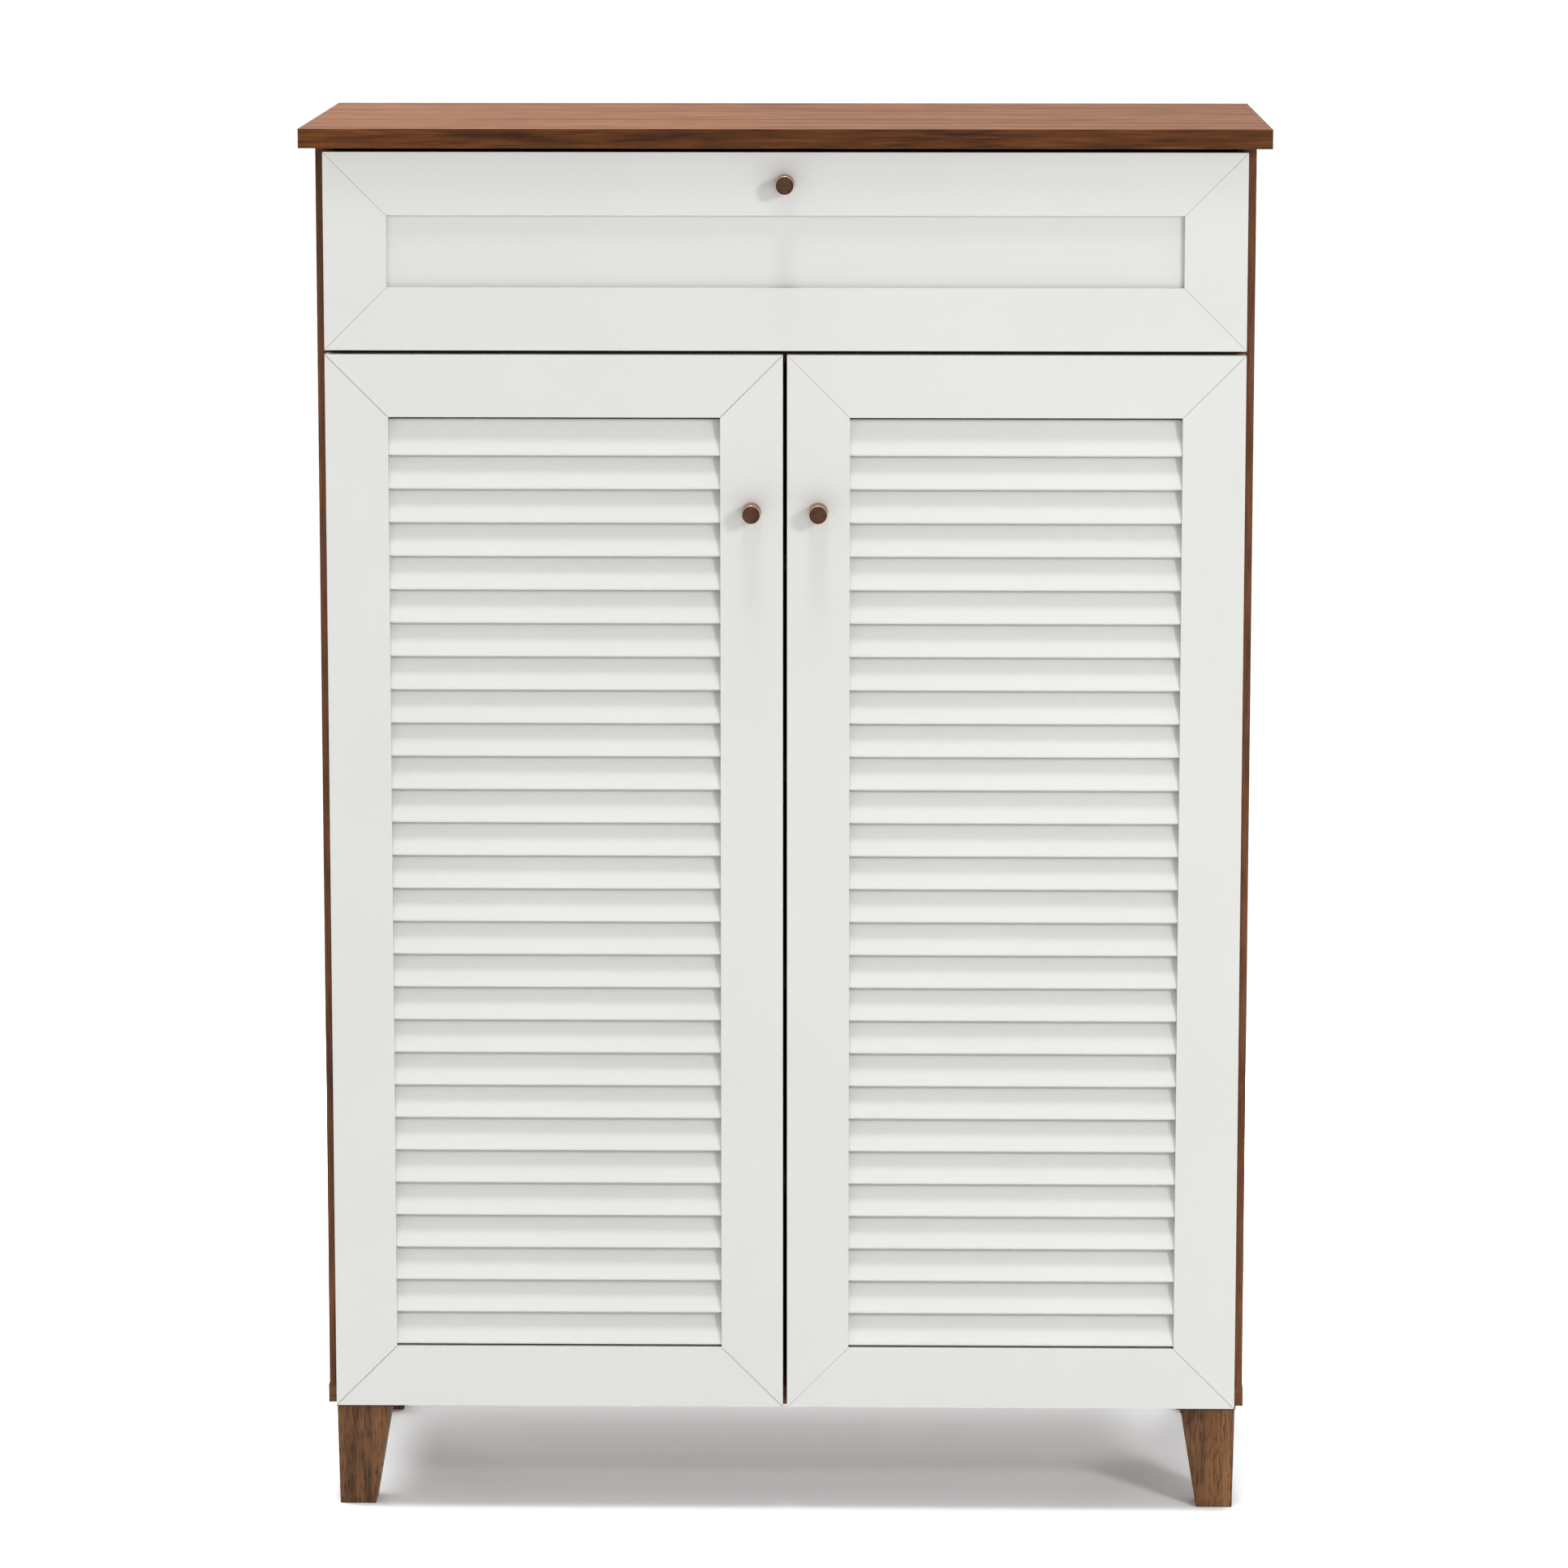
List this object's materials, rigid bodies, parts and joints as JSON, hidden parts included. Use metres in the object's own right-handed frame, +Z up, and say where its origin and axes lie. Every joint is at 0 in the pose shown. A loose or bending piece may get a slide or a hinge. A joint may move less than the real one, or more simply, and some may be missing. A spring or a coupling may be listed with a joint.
{
  "type": "shoe cabinet",
  "caption": "Free-standing shoe cabinet: walnut top and tapered legs, white framed fronts, louvred double doors on cup hinges, adjustable shelves and a shallow drawer on roller slides.",
  "frame": {"origin": "on the floor at the middle of the footprint, knobs included", "axes": "+Z up, +X to the right as seen from the front, the fronts face -Y"},
  "size_m": [0.8, 0.402, 1.176],
  "materials": {
    "walnut_top": "satin lacquered walnut grain",
    "dark_board": "dark walnut laminate",
    "thin_board": "dark laminated hardboard",
    "drawer_board": "dark walnut laminate",
    "leg_wood": "satin stained wood",
    "white_front": "satin white painted wood",
    "knob_bronze": "brushed bronze",
    "black_plate": "matt black",
    "hinge_nickel": "nickel plated",
    "slide_paint": "white powder coat",
    "roller_nylon": "moulded nylon",
    "zinc_steel": "zinc plated",
    "dowel_beech": "bare beech",
    "bumper_clear": "soft clear rubber"
  },
  "bodies": {
    "carcass": {"top_board": "walnut_top", "left_side_panel": "dark_board", "right_side_panel": "dark_board", "bottom_board": "dark_board", "divider_board": "dark_board", "back_panel": "thin_board", "shelf_1": "dark_board", "shelf_2": "dark_board", "shelf_3": "dark_board", "shelf_4": "dark_board", "shelf_pins": "zinc_steel", "cam_locks": "zinc_steel", "cam_bolts": "zinc_steel", "wood_dowels": "dowel_beech", "bottom_screws": "zinc_steel", "door_bumpers": "bumper_clear", "front_left_leg": "leg_wood", "front_right_leg": "leg_wood", "back_left_leg": "leg_wood", "back_right_leg": "leg_wood", "leg_plates": "black_plate", "leg_bolts": "zinc_steel", "leg_plate_screws": "zinc_steel", "left_cabinet_slide": "slide_paint", "right_cabinet_slide": "slide_paint", "hinge_plates": "hinge_nickel", "hinge_arms": "hinge_nickel", "cabinet_screws": "zinc_steel"},
    "drawer": {"drawer_front_rails": "white_front", "drawer_front_stiles": "white_front", "drawer_front_panel": "white_front", "drawer_inner_front": "drawer_board", "drawer_sides": "drawer_board", "drawer_back": "drawer_board", "drawer_base": "thin_board", "left_drawer_slide": "slide_paint", "right_drawer_slide": "slide_paint", "drawer_screws": "zinc_steel", "drawer_knob": "knob_bronze", "drawer_knob_screw": "zinc_steel"},
    "left_hinge_links": {"left_hinge_links": "hinge_nickel"},
    "left_door": {"left_door_hinge_stile": "white_front", "left_door_lock_stile": "white_front", "left_door_rails": "white_front", "left_door_slats": "white_front", "left_door_knob": "knob_bronze", "left_door_knob_screw": "zinc_steel", "left_hinge_cups": "hinge_nickel"},
    "right_hinge_links": {"right_hinge_links": "hinge_nickel"},
    "right_door": {"right_door_hinge_stile": "white_front", "right_door_lock_stile": "white_front", "right_door_rails": "white_front", "right_door_slats": "white_front", "right_door_knob": "knob_bronze", "right_door_knob_screw": "zinc_steel", "right_hinge_cups": "hinge_nickel"},
    "left_cabinet_roller": {"left_cabinet_roller": "roller_nylon"},
    "right_cabinet_roller": {"right_cabinet_roller": "roller_nylon"},
    "left_drawer_roller": {"left_drawer_roller": "roller_nylon"},
    "right_drawer_roller": {"right_drawer_roller": "roller_nylon"}
  },
  "joints": [
    {"name": "drawer_slide", "type": "slide", "parent": "carcass", "child": "drawer", "axis": [0, -1, 0], "range_m": [0, 0.22]},
    {"name": "left_door_hinge", "type": "hinge", "parent": "left_hinge_links", "child": "left_door", "pos_m": [-0.3692, -0.1644, 0.542], "axis": [0, 0, -1], "range_deg": [0, 137.75]},
    {"name": "left_link_pivot", "type": "hinge", "parent": "carcass", "child": "left_hinge_links", "pos_m": [-0.3482, -0.1624, 0.542], "axis": [0, 0, 1], "range_deg": [0, 42.8]},
    {"name": "right_door_hinge", "type": "hinge", "parent": "right_hinge_links", "child": "right_door", "pos_m": [0.3692, -0.1644, 0.542], "axis": [0, 0, 1], "range_deg": [0, 137.75]},
    {"name": "right_link_pivot", "type": "hinge", "parent": "carcass", "child": "right_hinge_links", "pos_m": [0.3482, -0.1624, 0.542], "axis": [0, 0, -1], "range_deg": [0, 42.8]},
    {"name": "left_cabinet_roller_spin", "type": "hinge", "parent": "carcass", "child": "left_cabinet_roller", "pos_m": [-0.36575, -0.146, 1.0268], "axis": [1, 0, 0], "range_deg": [0, 1450]},
    {"name": "left_drawer_roller_spin", "type": "hinge", "parent": "drawer", "child": "left_drawer_roller", "pos_m": [-0.36485, 0.125, 1.0232], "axis": [1, 0, 0], "range_deg": [0, 1450]},
    {"name": "right_cabinet_roller_spin", "type": "hinge", "parent": "carcass", "child": "right_cabinet_roller", "pos_m": [0.36575, -0.146, 1.0268], "axis": [1, 0, 0], "range_deg": [0, 1450]},
    {"name": "right_drawer_roller_spin", "type": "hinge", "parent": "drawer", "child": "right_drawer_roller", "pos_m": [0.36485, 0.125, 1.0232], "axis": [1, 0, 0], "range_deg": [0, 1450]}
  ],
  "couplings": [
    {"joint": "left_link_pivot", "follows": "left_door_hinge", "ratio": 0.31034},
    {"joint": "right_link_pivot", "follows": "right_door_hinge", "ratio": 0.31034},
    {"joint": "left_cabinet_roller_spin", "follows": "drawer_slide", "rad_per_m": 114.94},
    {"joint": "left_drawer_roller_spin", "follows": "drawer_slide", "rad_per_m": 114.94},
    {"joint": "right_cabinet_roller_spin", "follows": "drawer_slide", "rad_per_m": 114.94},
    {"joint": "right_drawer_roller_spin", "follows": "drawer_slide", "rad_per_m": 114.94}
  ]
}
